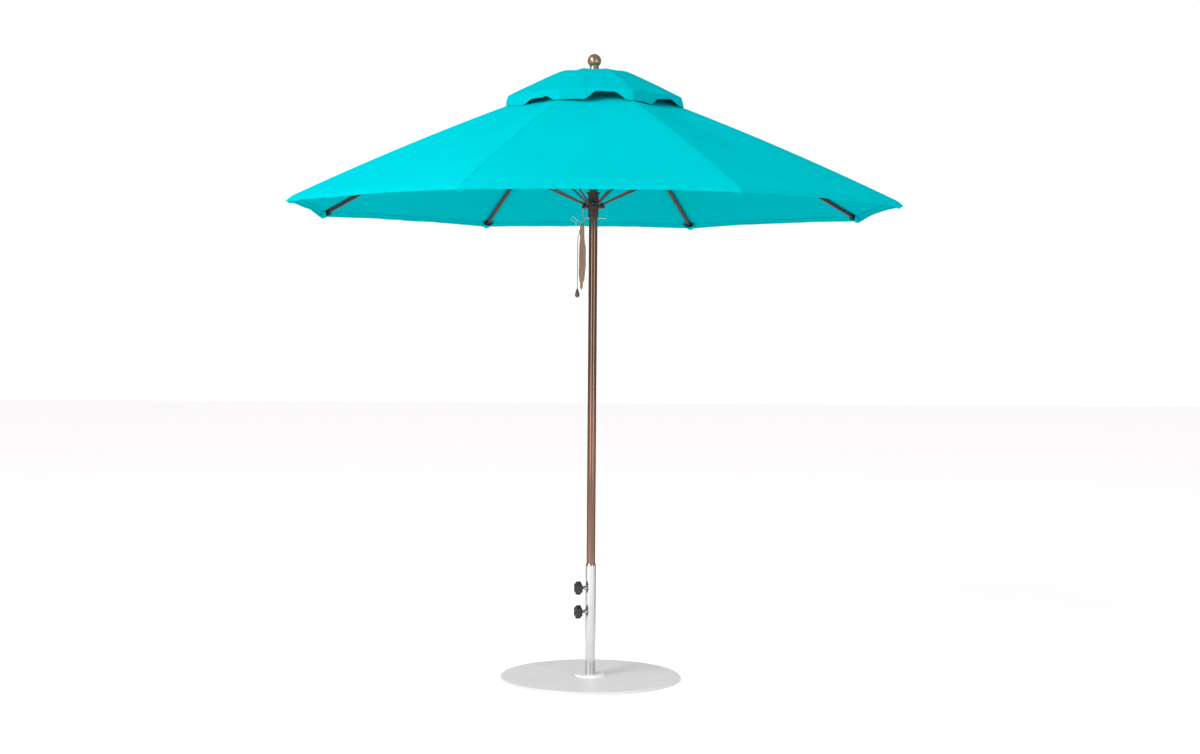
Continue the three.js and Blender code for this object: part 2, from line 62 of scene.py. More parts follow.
CROWN_R = 0.042  # the rib hinges' circle
CANOPY_TOP_Z = 2.634
CANOPY_RIM_Z = 2.064
CANOPY_BOW = 0.021
CLOTH = 0.0011
TIP_END_R = 1.349  # outer end of a rib's end cap
ROPE_D = 0.004


# ---- camera, fitted to the photograph: metres, degrees and millimetres ----
CAMERA_DISTANCE = 8.143
CAMERA_HEIGHT = 1.544
CAMERA_AZIMUTH = -1.09  # round the pole, from the front
CAMERA_AIM = -0.243  # sideways, off the pole
CAMERA_PITCH = -1.513
CAMERA_ROLL = 0.413
SENSOR_WIDTH = 36.0
LENS = 55.58


def make_camera():
    angles = (CAMERA_AZIMUTH, CAMERA_AIM, CAMERA_PITCH, CAMERA_ROLL)
    azimuth, aim, pitch, roll = (math.radians(a) for a in angles)
    cam = bpy.data.objects.new("camera", bpy.data.cameras.new("camera"))
    bpy.context.scene.collection.objects.link(cam)
    cam.data.sensor_fit = "HORIZONTAL"
    cam.data.sensor_width = SENSOR_WIDTH
    cam.data.lens = LENS
    x, y = CAMERA_DISTANCE * math.sin(azimuth), -CAMERA_DISTANCE * math.cos(azimuth)
    cam.location = (x, y, CAMERA_HEIGHT)
    level = Euler((math.pi / 2 + pitch, 0.0, azimuth + aim), "XYZ").to_matrix()
    cam.rotation_mode = "QUATERNION"
    cam.rotation_quaternion = (level @ Matrix.Rotation(roll, 3, "Z")).to_quaternion()
    bpy.context.scene.camera = cam


# ---- materials ----
NOISE_LOW, NOISE_HIGH = 0.3, 0.7  # most of a noise texture's values lie between these
MIX_FACTOR, MIX_A, MIX_B, MIX_RESULT = 0, 6, 7, 2  # the Mix node's colour sockets
WEAVE_PITCH = 0.0009  # between threads of the canvas
STITCH_PITCH = 0.004
STITCH_SHARE = 0.72  # of the pitch, the rest is the gap to the next stitch
STITCH_HALF_WIDTH = 0.0007
BRAID_STRANDS = 4
BRAID_PITCH = 0.006
PLATE_FACE_R = 0.3955  # the plate's turned rim starts here


class Shader:
    """A Principled material with plain values and node-made colour, roughness and bump."""

    def __init__(self, name, color, roughness, metallic=0.0, **sockets):
        self.material = bpy.data.materials.new(name)
        self.material.use_nodes = True
        self.tree = self.material.node_tree
        self.shader = self.tree.nodes["Principled BSDF"]
        self.color = color
        self.shader.inputs["Base Color"].default_value = (*color, 1.0)
        self.shader.inputs["Roughness"].default_value = roughness
        self.shader.inputs["Metallic"].default_value = metallic
        for socket, value in sockets.items():
            label = socket.replace("_", " ").title().replace("Ior", "IOR")
            self.shader.inputs[label].default_value = value
        self.roughness = roughness

    def feed(self, socket, value):
        if isinstance(value, bpy.types.NodeSocket):
            self.tree.links.new(value, socket)
        else:
            socket.default_value = value

    def node(self, kind, **inputs):
        n = self.tree.nodes.new(kind)
        for name, value in inputs.items():
            self.feed(n.inputs[name], value)
        return n

    def where(self, space="Object", scale=(1.0, 1.0, 1.0)):
        place = self.tree.nodes.new("ShaderNodeTexCoord").outputs[space]
        return self.node("ShaderNodeMapping", Vector=place, Scale=scale).outputs[0]

    def axes(self, place):
        return self.node("ShaderNodeSeparateXYZ", Vector=place).outputs

    def uv_axes(self):
        return self.axes(self.tree.nodes.new("ShaderNodeTexCoord").outputs["UV"])

    def noise(self, scale, detail=3.0, space="Object", stretch=(1.0, 1.0, 1.0)):
        place = self.where(space, stretch)
        n = self.node("ShaderNodeTexNoise", Vector=place, Scale=scale, Detail=detail)
        return n.outputs["Fac"]

    def spread(self, value, low, high):
        """A noise's values, spread over the whole way from low to high."""
        n = self.node("ShaderNodeMapRange", Value=value)
        ends = {"From Min": NOISE_LOW, "From Max": NOISE_HIGH, "To Min": low, "To Max": high}
        for name, end in ends.items():
            n.inputs[name].default_value = end
        return n.outputs["Result"]

    def math(self, operation, a, b=0.0):
        n = self.tree.nodes.new("ShaderNodeMath")
        n.operation = operation
        for socket, value in zip(n.inputs, (a, b)):
            self.feed(socket, value)
        return n.outputs[0]

    def sum_of(self, a, share_a, b, share_b):
        part_a = self.math("MULTIPLY", a, share_a)
        return self.math("ADD", part_a, self.math("MULTIPLY", b, share_b))

    def mix(self, factor, a, b):
        n = self.tree.nodes.new("ShaderNodeMix")
        n.data_type = "RGBA"
        for socket, value in ((MIX_FACTOR, factor), (MIX_A, a), (MIX_B, b)):
            self.feed(n.inputs[socket], value)
        return n.outputs[MIX_RESULT]

    def shade(self, share):
        return (*[min(1.0, c * share) for c in self.color], 1.0)

    def paint(self, color):
        self.tree.links.new(color, self.shader.inputs["Base Color"])

    def toned(self, value, dark, light):
        """The material's colour, from a darker share of it to a lighter one as a noise says."""
        return self.mix(self.spread(value, 0.0, 1.0), self.shade(dark), self.shade(light))

    def vary_color(self, value, dark, light):
        color = self.toned(value, dark, light)
        self.paint(color)
        return color

    def vary_roughness(self, value, swing):
        out = self.spread(value, self.roughness - swing, self.roughness + swing)
        self.tree.links.new(out, self.shader.inputs["Roughness"])

    def bump(self, height, distance, strength=1.0):
        n = self.node("ShaderNodeBump", Height=height, Distance=distance, Strength=strength)
        self.tree.links.new(n.outputs[0], self.shader.inputs["Normal"])


def thread_height(s):
    """Plain weave from the UV map, which is in metres: warp and weft rise in turn."""
    axes = s.uv_axes()
    across = s.math("SINE", s.math("MULTIPLY", axes[0], math.pi / WEAVE_PITCH))
    along = s.math("SINE", s.math("MULTIPLY", axes[1], math.pi / WEAVE_PITCH))
    return s.math("MULTIPLY", across, along)


def cloth_material(name, color, see_through):
    s = Shader(name, color, 0.85, specular_ior_level=0.0)
    slub = s.noise(900.0, 2.0, "UV", (1.0, 0.06, 1.0))
    cloudy = s.noise(2.5, 4.0)
    color_out = s.vary_color(s.sum_of(slub, 0.5, cloudy, 0.5), 0.93, 1.05)
    s.vary_roughness(slub, 0.05)
    s.bump(s.math("ADD", thread_height(s), s.math("MULTIPLY", slub, 1.5)), 0.00015, 0.6)
    glow = s.node("ShaderNodeBsdfTranslucent", Color=color_out)
    mixed = s.node("ShaderNodeMixShader")
    mixed.inputs[0].default_value = see_through
    s.tree.links.new(s.shader.outputs[0], mixed.inputs[1])
    s.tree.links.new(glow.outputs[0], mixed.inputs[2])
    s.tree.links.new(mixed.outputs[0], s.tree.nodes["Material Output"].inputs["Surface"])
    return s.material


def stitched_material(name, color, thread, row):
    """Cloth with two rows of stitches at the UV map's u = row and -row. v runs along them."""
    s = Shader(name, color, 0.85, specular_ior_level=0.0)
    axes = s.uv_axes()
    from_row = s.math("ABSOLUTE", s.math("SUBTRACT", s.math("ABSOLUTE", axes[0]), row))
    on_row = s.math("LESS_THAN", from_row, STITCH_HALF_WIDTH)
    part = s.math("FRACT", s.math("DIVIDE", axes[1], STITCH_PITCH))
    stitch = s.math("MULTIPLY", on_row, s.math("LESS_THAN", part, STITCH_SHARE))
    cloudy = s.noise(30.0, 3.0)
    # The cloth here is toned 0.86 to 1.0 of its colour, darker than the canopy cloth: painted shade
    # along seams, hems and pockets, with the stitches in thread colour over it.
    s.paint(s.mix(stitch, s.toned(cloudy, 0.86, 1.0), (*thread, 1.0)))
    pucker = s.noise(160.0, 2.0)
    dent = s.math("SUBTRACT", s.math("MULTIPLY", pucker, 0.6), s.math("MULTIPLY", on_row, 0.8))
    threads = s.sum_of(thread_height(s), 0.25, stitch, 1.2)
    s.bump(s.math("ADD", dent, threads), 0.0006, 0.7)
    s.vary_roughness(cloudy, 0.05)
    return s.material


def painted_material(name, color, roughness, metallic):
    s = Shader(name, color, roughness, metallic, coat_weight=0.5, coat_roughness=0.08)
    mottle = s.noise(12.0, 3.0)
    s.vary_color(mottle, 0.94, 1.06)
    s.vary_roughness(mottle, 0.02)
    return s.material


def metal_tone(s, lines):
    """Drawn or brushed lines over faint stains."""
    return s.sum_of(lines, 0.4, s.noise(5.0, 5.0), 0.6)


def steel_material(name, color, roughness, metallic, stretch=(1.0, 1.0, 1.0), dark=0.93):
    s = Shader(name, color, roughness, metallic)
    lines = s.noise(220.0, 4.0, stretch=stretch)
    s.vary_color(metal_tone(s, lines), dark, 1.04)
    s.vary_roughness(lines, 0.04)
    return s.material


def plate_material(name, color, rim_shade_color):
    """Brushed steel plate, with its turned rim painted a darker grey: painted shade that keeps the
    rim from washing out to white.
    """
    s = Shader(name, color, 0.42, 0.3)
    lines = s.noise(300.0, 4.0, stretch=(0.04, 1.0, 1.0))
    face = s.toned(metal_tone(s, lines), 0.93, 1.04)
    axes = s.axes(s.where())
    out_x, out_y = s.math("POWER", axes[0], 2.0), s.math("POWER", axes[1], 2.0)
    # Past PLATE_FACE_R the colour is a flat grey: painted shade on the rim's side face.
    rim_shade_mask = s.math("GREATER_THAN", s.math("ADD", out_x, out_y), PLATE_FACE_R**2)
    s.paint(s.mix(rim_shade_mask, face, (*rim_shade_color, 1.0)))
    s.vary_roughness(lines, 0.04)
    return s.material


def plastic_material(name, color, roughness):
    s = Shader(name, color, roughness, ior=1.46)
    scuffs = s.noise(55.0, 5.0)
    s.vary_color(scuffs, 0.75, 1.35)
    s.vary_roughness(scuffs, 0.08)
    s.bump(s.noise(1800.0, 2.0), 0.00008, 0.4)
    return s.material


def rope_material(name, color):
    """Braided cord: the strands' diagonals come from the UV map, u round it and v along it."""
    s = Shader(name, color, 0.9, sheen_weight=0.2)
    axes = s.uv_axes()
    round_it = s.math("MULTIPLY", axes[0], BRAID_STRANDS * math.tau)
    along = s.math("MULTIPLY", axes[1], math.tau / BRAID_PITCH)
    one_way = s.math("SINE", s.math("ADD", round_it, along))
    other_way = s.math("SINE", s.math("SUBTRACT", round_it, along))
    braid = s.math("MAXIMUM", one_way, other_way)
    fuzz = s.noise(2500.0, 2.0)
    s.vary_color(s.sum_of(braid, 0.35, fuzz, 0.5), 0.45, 1.35)
    s.vary_roughness(fuzz, 0.06)
    s.bump(braid, 0.0004, 0.8)
    return s.material


CLOTH_COLOR = (0.0, 0.395, 0.44)
THREAD_COLOR = (0.0, 0.30, 0.335)
SEAM_ROW = 0.0045  # the seam's stitch rows lie this far from its middle
HEM_ROW = 0.0065
LONG_LINES = (1.0, 1.0, 0.02)  # drawn lines that run up a tube

cloth = cloth_material("canopy_cloth", CLOTH_COLOR, see_through=0.07)
cap_cloth = cloth_material("cap_cloth", CLOTH_COLOR, see_through=0.14)
seam_cloth = stitched_material("seam_cloth", CLOTH_COLOR, THREAD_COLOR, SEAM_ROW)
hem_cloth = stitched_material("hem_cloth", CLOTH_COLOR, THREAD_COLOR, HEM_ROW)
bronze = painted_material("bronze_paint", (0.20, 0.105, 0.066), roughness=0.12, metallic=0.8)
finial_paint = painted_material("finial_paint", (0.36, 0.225, 0.145), roughness=0.3, metallic=0.75)
rib_paint = painted_material("rib_paint", (0.14, 0.045, 0.04), roughness=0.32, metallic=0.5)
black_plastic = plastic_material("black_plastic", (0.016, 0.016, 0.016), roughness=0.42)
runner_plastic = plastic_material("runner_plastic", (0.055, 0.02, 0.017), roughness=0.25)
brown_plastic = plastic_material("brown_plastic", (0.10, 0.065, 0.048), roughness=0.45)
zinc = steel_material("zinc_steel", (0.48, 0.47, 0.46), roughness=0.3, metallic=1.0)
polished = steel_material(
    "polished_steel",
    (0.58, 0.57, 0.57),
    roughness=0.1,
    metallic=0.85,
    stretch=LONG_LINES,
    dark=0.82,
)
plate_steel = plate_material("plate_steel", (0.83, 0.755, 0.75), rim_shade_color=(0.60, 0.60, 0.60))
flange_steel = steel_material("flange_steel", (0.96, 0.90, 0.90), roughness=0.3, metallic=0.3)
rope_fibre = rope_material("rope_fibre", (0.50, 0.27, 0.185))

SLOT_MATERIALS = {
    "canopy_cloth": cloth,
    "bronze_paint": bronze,
    "rib_paint": rib_paint,
    "black_plastic": black_plastic,
    "brown_plastic": brown_plastic,
    "zinc_steel": zinc,
    "polished_steel": polished,
    "plate_steel": plate_steel,
    "rope_fibre": rope_fibre,
}
OWN_MATERIALS = {
    "runner_hub": runner_plastic,
    "finial": finial_paint,
    "base_flange": flange_steel,
}


# ---- mesh helpers ----
def new_piece(name, vertices, faces, material, uvs):
    mesh = bpy.data.meshes.new(name)
    mesh.from_pydata([tuple(v) for v in vertices], [], faces)
    mesh.validate()
    mesh.shade_smooth()
    layer = mesh.uv_layers.new(name="UVMap")
    for loop in mesh.loops:
        layer.data[loop.index].uv = uvs[loop.vertex_index]
    mesh.materials.append(material)
    piece = bpy.data.objects.new(name, mesh)
    bpy.context.scene.collection.objects.link(piece)
    return piece


def grid_faces(rows, columns, first=0, flip=False):
    faces = []
    for i in range(rows - 1):
        for j in range(columns - 1):
            a = first + i * columns + j
            face = [a, a + 1, a + columns + 1, a + columns]
            faces.append(face[::-1] if flip else face)
    return faces


def two_layer_sheet(name, grid, uv_grid, thickness, material):
    """A closed cloth sheet from a grid of points: two layers and sharp rims between them."""
    rows, columns = len(grid), len(grid[0])
    upper = [p for row in grid for p in row]
    normals = []
    for i in range(rows):
        for j in range(columns):
            along = grid[min(i + 1, rows - 1)][j] - grid[max(i - 1, 0)][j]
            across = grid[i][min(j + 1, columns - 1)] - grid[i][max(j - 1, 0)]
            normals.append(along.cross(across).normalized())
    lower = [p - n * thickness for p, n in zip(upper, normals)]
    count = rows * columns
    faces = grid_faces(rows, columns, 0, True) + grid_faces(rows, columns, count)
    first = list(range(columns))
    last = [(rows - 1) * columns + j for j in reversed(range(columns))]
    left = [i * columns for i in reversed(range(rows))]
    right = [i * columns + columns - 1 for i in range(rows)]
    rims = []
    for line in (first, right, last, left):
        for a, b in zip(line, line[1:]):
            faces.append([a, b, count + b, count + a])
            rims += [(a, b), (count + a, count + b)]
    uvs = [uv for row in uv_grid for uv in row] * 2
    piece = new_piece(name, upper + lower, faces, material, uvs)
    sharp = {tuple(sorted(pair)) for pair in rims}
    flags = [tuple(sorted(edge.vertices)) in sharp for edge in piece.data.edges]
    attribute = piece.data.attributes.new("sharp_edge", "BOOLEAN", "EDGE")
    attribute.data.foreach_set("value", flags)
    return piece


def tube(name, path, radius, material, sides):
    """A round tube that follows a path, with closed ends and a UV map for a braid."""
    count = len(path)
    ahead, behind = [*path[1:], path[-1]], [path[0], *path[:-1]]
    tangents = [(a - b).normalized() for a, b in zip(ahead, behind)]
    side = tangents[0].orthogonal().normalized()
    vertices, uvs, length = [], [], 0.0
    for i, (point, tangent) in enumerate(zip(path, tangents)):
        side = (side - tangent * side.dot(tangent)).normalized()
        up = tangent.cross(side)
        length += (point - path[i - 1]).length if i else 0.0
        for k in range(sides + 1):
            a = math.tau * k / sides
            vertices.append(point + (side * math.cos(a) + up * math.sin(a)) * radius)
            uvs.append((k / sides, length))
    faces = grid_faces(count, sides + 1, 0, True)
    for end, at in ((0, 0), (1, (count - 1) * (sides + 1))):
        middle = len(vertices)
        vertices.append(path[-end])
        uvs.append((0.5, length * end))
        for k in range(sides):
            face = [middle, at + k, at + k + 1]
            faces.append(face if end else face[::-1])
    piece = new_piece(name, vertices, faces, material, uvs)
    weld = piece.modifiers.new("weld", "WELD")
    weld.merge_threshold = radius * 0.01
    return piece


def smooth_path(points, per_span):
    """A Catmull-Rom curve through the points, centripetal so that it doesn't overshoot."""
    points = [Vector(p) for p in points]
    padded = [points[0] * 2 - points[1], *points, points[-1] * 2 - points[-2]]
    path = []
    for a, b, c, d in zip(padded, padded[1:], padded[2:], padded[3:]):
        knots = [0.0]
        for p, q in ((a, b), (b, c), (c, d)):
            knots.append(knots[-1] + max((q - p).length, 1e-9) ** 0.5)
        for k in range(per_span):
            t = knots[1] + (knots[2] - knots[1]) * k / per_span

            def between(p, q, i, j):
                return p + (q - p) * ((t - knots[i]) / (knots[j] - knots[i]))

            ab, bc, cd = between(a, b, 0, 1), between(b, c, 1, 2), between(c, d, 2, 3)
            abc, bcd = between(ab, bc, 0, 2), between(bc, cd, 1, 3)
            path.append(between(abc, bcd, 1, 2))
    return path + [points[-1]]


# ---- rope ----
ROPE_LEAD = [
    (-0.0462, 0.0, 2.0667),
    (-0.0461, 0.0002, 2.058),
    (-0.0457, 0.001, 2.048),
    (-0.045, 0.0028, 2.036),
    (-0.044, 0.0052, 2.024),
    (-0.0426, 0.008, 2.012),
    (-0.0414, 0.0104, 2.001),
]
ROPE_TAIL = [
    (-0.0664, -0.007, 1.938),
    (-0.0672, -0.0073, 1.925),
    (-0.0678, -0.0075, 1.895),
    (-0.068, -0.0075, 1.85),
    (-0.068, -0.0075, 1.80),
    (-0.068, -0.0075, 1.75),
    (-0.068, -0.0075, 1.717),
]
HANK_MIDDLE = -0.0506
HANK_PITCH = 0.0058  # between turns
HANK_TURNS = 5
HANK_Z = (1.722, 1.988)
FOLD_R = 0.0114  # of the hank's upper and lower folds
FOLD_STEPS = 7
RUN_STEPS = 10  # points down or up one straight run of the hank
TIE_Z = 1.962
TIE_TURNS = 4
TIE_STEPS = 14  # points round one turn of the tie
TIE_TOP = 0.0085  # above TIE_Z
TIE_PITCH = 0.0042
TIE_HALF_X = 0.5 * HANK_PITCH * (HANK_TURNS - 1) * 0.6 + 0.0036
TIE_HALF_Y = 0.0119
ROPE_STEP = 0.0022  # between the rings of the rope's tube
SHEAVE_X, SHEAVE_Z = -0.0366, 2.58
WRAP_R = 0.0096  # of the rope's middle, round the sheave
RUN_X, RUN_LOW_Z, RUN_LENGTH = -0.027, 2.1383, 0.4415  # from the runner up to the sheave
DOWN_X, DOWN_LENGTH = -0.0462, 0.513  # from the sheave to the runner's disc


def at_tie(z):
    """How strongly the tie pulls the turns in at a height, from 0 to 1."""
    return math.exp(-(((z - TIE_Z) / 0.022) ** 2))


def hank_spread(z):
    """How far apart the turns lie at a height: less at the tie and at the lower folds."""
    return 1 - 0.40 * smooth((z - 1.885) / 0.06) - 0.38 * smooth((1.805 - z) / 0.07)


def hank_point(turn, side, z):
    """A point of a turn's straight run: side is 1 for the back run and -1 for the front one."""
    x = HANK_MIDDLE + (0.5 * (HANK_TURNS - 1) - turn + 0.25 * side) * HANK_PITCH * hank_spread(z)
    sway = 0.0042 * math.sin((z - HANK_Z[0]) * 11.0) + 0.0006 * math.sin(z * 90 + 2.1 * turn + side)
    return (x + sway, side * (FOLD_R - 0.003 * at_tie(z)) + 0.0006 * math.sin(z * 60 + turn), z)


def hank_points():
    """The turns, side by side, each down the back and up the front, then the tie round them."""
    points = []
    high = HANK_Z[1]
    for turn in range(HANK_TURNS):
        from_middle = turn - (HANK_TURNS - 1) / 2
        low = HANK_Z[0] + 0.009 * from_middle**2 - 0.003 * (turn % 2)
        for k in range(RUN_STEPS + 1):
            if turn or k:
                points.append(hank_point(turn, 1, high + (low - high) * k / RUN_STEPS))
        points += fold_points(turn, 0, low, 1)
        last = turn == HANK_TURNS - 1
        top = TIE_Z - 0.006 if last else high
        for k in range(RUN_STEPS + 1):
            points.append(hank_point(turn, -1, low + (top - low) * k / RUN_STEPS))
        if not last:
            points += fold_points(turn, 1, high, -1)
    return points + tie_points()


def fold_points(turn, turns_on, height, way):
    """A half circle at an end of the hank: way is 1 for a lower fold and -1 for an upper one."""
    points = []
    for k in range(1, FOLD_STEPS):
        a = math.pi * k / FOLD_STEPS
        x, _, z = hank_point(turn + turns_on * k / FOLD_STEPS, 0, height)
        points.append((x, way * FOLD_R * math.cos(a), z - way * FOLD_R * math.sin(a)))
    return points


def tie_points():
    points = []
    for k in range(-2, TIE_TURNS * TIE_STEPS - 1):
        a = math.pi + math.tau * k / TIE_STEPS
        z = TIE_Z + TIE_TOP - TIE_PITCH * max(k, 0) / TIE_STEPS - 0.003 * max(0, -k)
        points.append((HANK_MIDDLE + TIE_HALF_X * math.cos(a), -TIE_HALF_Y * math.sin(a), z))
    return points + [(-0.0640, -0.0084, z - 0.003), (-0.0662, -0.0073, z - 0.010)]


def even_path(points, step):
    """The same path with its points an even step apart."""
    path, carried = [points[0]], 0.0
    for a, b in zip(points, points[1:]):
        length = (b - a).length
        along = step - carried
        while along <= length:
            path.append(a.lerp(b, along / length))
            along += step
        carried = length - (along - step)
    if (path[-1] - points[-1]).length < step / 2:
        path.pop()
    return path + [points[-1]]


def relax(path, rounds):
    """Rounds off a path's tight corners, as a cord's own stiffness does."""
    for _ in range(rounds):
        inner = [(a + b * 2 + c) / 4 for a, b, c in zip(path, path[1:], path[2:])]
        path = [path[0], *inner, path[-1]]
    return path


def make_rope():
    path = smooth_path([*ROPE_LEAD, *hank_points(), *ROPE_TAIL], 4)
    path = relax(even_path(path, ROPE_STEP), 9)
    rope = tube("lift_rope_cord", path, ROPE_D / 2, rope_fibre, 8)
    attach(rope, "runner")
    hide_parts("lift_rope", "rope_hank", "rope_tail")
    length = sum((b - a).length for a, b in zip(path, path[1:]))


def make_taut_rope():
    """The rope from the runner, over the sheave and down to the runner's disc."""
    run = [Vector((RUN_X, 0.0, RUN_LOW_Z + RUN_LENGTH * k / 40)) for k in range(40)]
    over = []
    for k in range(13):
        a = math.pi * k / 12
        x, z = SHEAVE_X + WRAP_R * math.cos(a), SHEAVE_Z + WRAP_R * math.sin(a)
        over.append(Vector((x, 0.0, z)))
    down = [Vector((DOWN_X, 0.0, SHEAVE_Z - DOWN_LENGTH * k / 44)) for k in range(1, 45)]
    path = [*run, *over, *down]
    taut = tube("lift_rope_taut", path, ROPE_D / 2, rope_fibre, 10)
    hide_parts("lift_rope_run")
    taut.modifiers.clear()
    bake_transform(taut)


# ---- canopy ----
HEM_BEND = 0.0286  # the hem bends down over this width, past the ribs' ends
HEM_BEND_DROP = 0.009
HEM_CURVE = 0.0095  # how far the hem is cut in between its corners, a share of the radius
HEM_WIDTH = 0.022
HEM_THICKNESS = 0.0028
SEAM_HALF = 0.0072
SEAM_THICKNESS = 0.0008
POCKET_THICKNESS = 0.001
POCKET_DEPTH = 0.0262
POCKET_OPENING_R = 1.331
PANEL_SAG = 0.011
HEM_LIFT = 0.004  # the hem sags less than the panel above it


def canopy_z(r):
    t = (r - CROWN_R) / (CANOPY_R - CROWN_R)
    return CANOPY_TOP_Z + (CANOPY_RIM_Z - CANOPY_TOP_Z) * t + 4 * CANOPY_BOW * t * (1 - t)


def smooth(t):
    t = min(1.0, max(0.0, t))
    return t * t * (3 - 2 * t)


def side_of(signed):
    return -1 if signed < 0 else 1


def in_panel(r, w):
    """The plan point at octagon radius r, a share w of the way from one rib (at +X) to the next."""
    return r * ((1 - w) + w * math.cos(PANEL_ANGLE)), r * w * math.sin(PANEL_ANGLE)


def panel_beside(angle, side):
    return round((angle + side * HALF_STEP) / PANEL_ANGLE) % RIBS


def panel_wrinkle(x, y, side, angle, layer):
    """Slack in the cloth of the panel beside a rib, which runs mostly from the crown to the hem."""
    panel = panel_beside(angle, side)
    turn = -side * HALF_STEP
    along = x * math.cos(turn) - y * math.sin(turn)
    across = x * math.sin(turn) + y * math.cos(turn)
    seed = 7.3 * panel + 31.0 * layer
    broad = noise.noise(Vector((along * 1.7, across * 3.4, seed)))
    folds = noise.noise(Vector((along * 2.2, across * 11.0, seed + 3.1)))
    fine = noise.noise(Vector((along * 9.0, across * 26.0, seed + 5.7)))
    return 0.0046 * broad + 0.0024 * folds + 0.0005 * fine


def canopy_point(r, w, angle):
    """A point of the cloth's upper face in the rib's own frame. w is signed: the rib is at 0."""
    side, w = side_of(w), abs(w)
    x, y = in_panel(r, w)
    belly = math.sin(math.pi * w) ** 2
    reach = (r - HOLE_R) / (CANOPY_R - HOLE_R)
    sag = PANEL_SAG * belly * math.sin(math.pi * min(1.0, 0.15 + 0.75 * reach))
    hem_lift = HEM_LIFT * belly * smooth((reach - 0.75) / 0.25)
    slack = panel_wrinkle(x, side * y, side, angle, 0) * belly
    bend = HEM_BEND_DROP * max(0.0, 1 - (hem_r(w) - r) / HEM_BEND) ** 1.6
    return Vector((x, side * y, canopy_z(r) - sag + hem_lift + slack - bend))


def beside_rib(r, y, angle):
    """The point of the cloth a distance y to the side of the rib."""
    return canopy_point(r, y / (r * math.sin(PANEL_ANGLE)), angle)


def hem_r(w):
    """The hem is cut in a shallow curve between its corners."""
    return CANOPY_R * (1 - HEM_CURVE * 4 * w * (1 - w))


def shares(columns):
    """Signed shares of the way to the next rib on each side, closer together at the rib."""
    half = columns // 2
    return [math.copysign(0.5 * (abs(k) / half) ** 1.25, k) for k in range(-half, half + 1)]


def evenly(half, columns):
    return [half * (2 * j / columns - 1) for j in range(columns + 1)]


def row_grid(angle, rows, across, point_at):
    """A sheet's points and UVs, row by row: point_at(i, a) gives both in the rib's own frame."""
    turn = Matrix.Rotation(angle, 3, "Z")
    grid, uvs = [], []
    for i in range(rows + 1):
        pairs = [point_at(i, a) for a in across]
        grid.append([turn @ point for point, _ in pairs])
        uvs.append([uv for _, uv in pairs])
    return grid, uvs


def make_gore(index, angle):
    rows = 44

    def point_at(i, w):
        r = HOLE_R + (hem_r(abs(w)) - HOLE_R) * i / rows
        p = canopy_point(r, w, angle)
        return p, (p.y, r)

    grid, uvs = row_grid(angle, rows, shares(36), point_at)
    gore = two_layer_sheet(f"canopy_sheet_{index + 1}", grid, uvs, CLOTH, cloth)
    hem = make_hem(index, angle)
    seam = make_seam(index, angle)
    pocket = make_pocket(index, angle)
    for piece in (gore, hem, seam, pocket):
        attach(piece, f"rib_{index + 1}")
    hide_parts(f"canopy_gore_{index + 1}")
    for piece in (gore, hem):
        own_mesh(piece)


def make_hem(index, angle):
    """The turned and stitched edge, a little proud of the sheet on both faces."""
    rows = 5

    def point_at(i, w):
        inside = HEM_WIDTH * (1 - i / rows)
        p = canopy_point(hem_r(abs(w)) + 0.0012 - inside, w, angle)
        p.z += 0.0009 * (1.0 if 0 < i < rows else 0.2)
        return p, (inside - 0.0125, p.y)

    grid, uvs = row_grid(angle, rows, shares(48), point_at)
    return two_layer_sheet(f"canopy_hem_{index + 1}", grid, uvs, HEM_THICKNESS, hem_cloth)


def make_seam(index, angle):
    """The flat-felled seam over a rib, with its two rows of stitches."""
    rows = 90

    def point_at(i, y):
        r = HOLE_R + 0.002 + (CANOPY_R - 0.003 - HOLE_R) * i / rows
        p = beside_rib(r, y, angle)
        p.z += 0.0002 + 0.0007 * smooth((SEAM_HALF - abs(y)) / 0.0016)
        return p, (y, r)

    grid, uvs = row_grid(angle, rows, evenly(SEAM_HALF, 6), point_at)
    return two_layer_sheet(f"canopy_seam_{index + 1}", grid, uvs, SEAM_THICKNESS, seam_cloth)


def make_pocket(index, angle):
    """The pocket sewn under a corner for the rib's end cap. It opens towards the pole."""
    rows = 14
    cap_end_r, end_r = TIP_END_R + 0.0012, CANOPY_R - 0.004

    def point_at(i, u):
        t = i / rows
        r = POCKET_OPENING_R + (end_r - POCKET_OPENING_R) * t
        past = max(0.0, (r - cap_end_r) / (end_r - cap_end_r))
        y = (0.030 - 0.012 * t) * u
        depth = POCKET_DEPTH * (1 - 0.97 * past**1.7)
        p = beside_rib(r, y, angle)
        p.z -= CLOTH + 0.0004 + depth * max(0.0, math.cos(math.pi / 2 * abs(u))) ** 0.35
        return p, (abs(y) - 0.014, r)

    grid, uvs = row_grid(angle, rows, evenly(1.0, 16), point_at)
    return two_layer_sheet(f"corner_pocket_{index + 1}", grid, uvs, POCKET_THICKNESS, hem_cloth)


# ---- vent cap ----
CAP_PROFILE = [  # radius and height of the cloth over a rib
    (0.0, 2.6672),
    (0.070, 2.6672),
    (0.125, 2.6652),
    (0.160, 2.6565),
    (0.235, 2.622),
    (0.320, 2.580),
    (0.402, 2.5385),
]
CAP_R = CAP_PROFILE[-1][0]
CAP_TOP_R = 0.007
CAP_SPLIT_R = 0.125  # crown band inside it, shoulder band outside
CAP_SHOULDER_R = 0.23
CAP_COLUMNS = 32
CAP_LAP = [0.52, 0.54, 0.58, 0.64, 0.70]  # shares of the way to the next rib
CAP_TUCK = 0.0016
CAP_DROP = 0.043  # how far the cap's hem hangs at a rib
CAP_MID_DROP = 0.007  # and how much more halfway to the next
CAP_SLACK = 2.6  # the cap's wrinkles are this much deeper than the canopy's
ARCH_SHIFT = 0.040  # the arches lie a little to one side of the panels' middles
ARCH_FLAT = 0.034
ARCH_SLOPE = 0.062
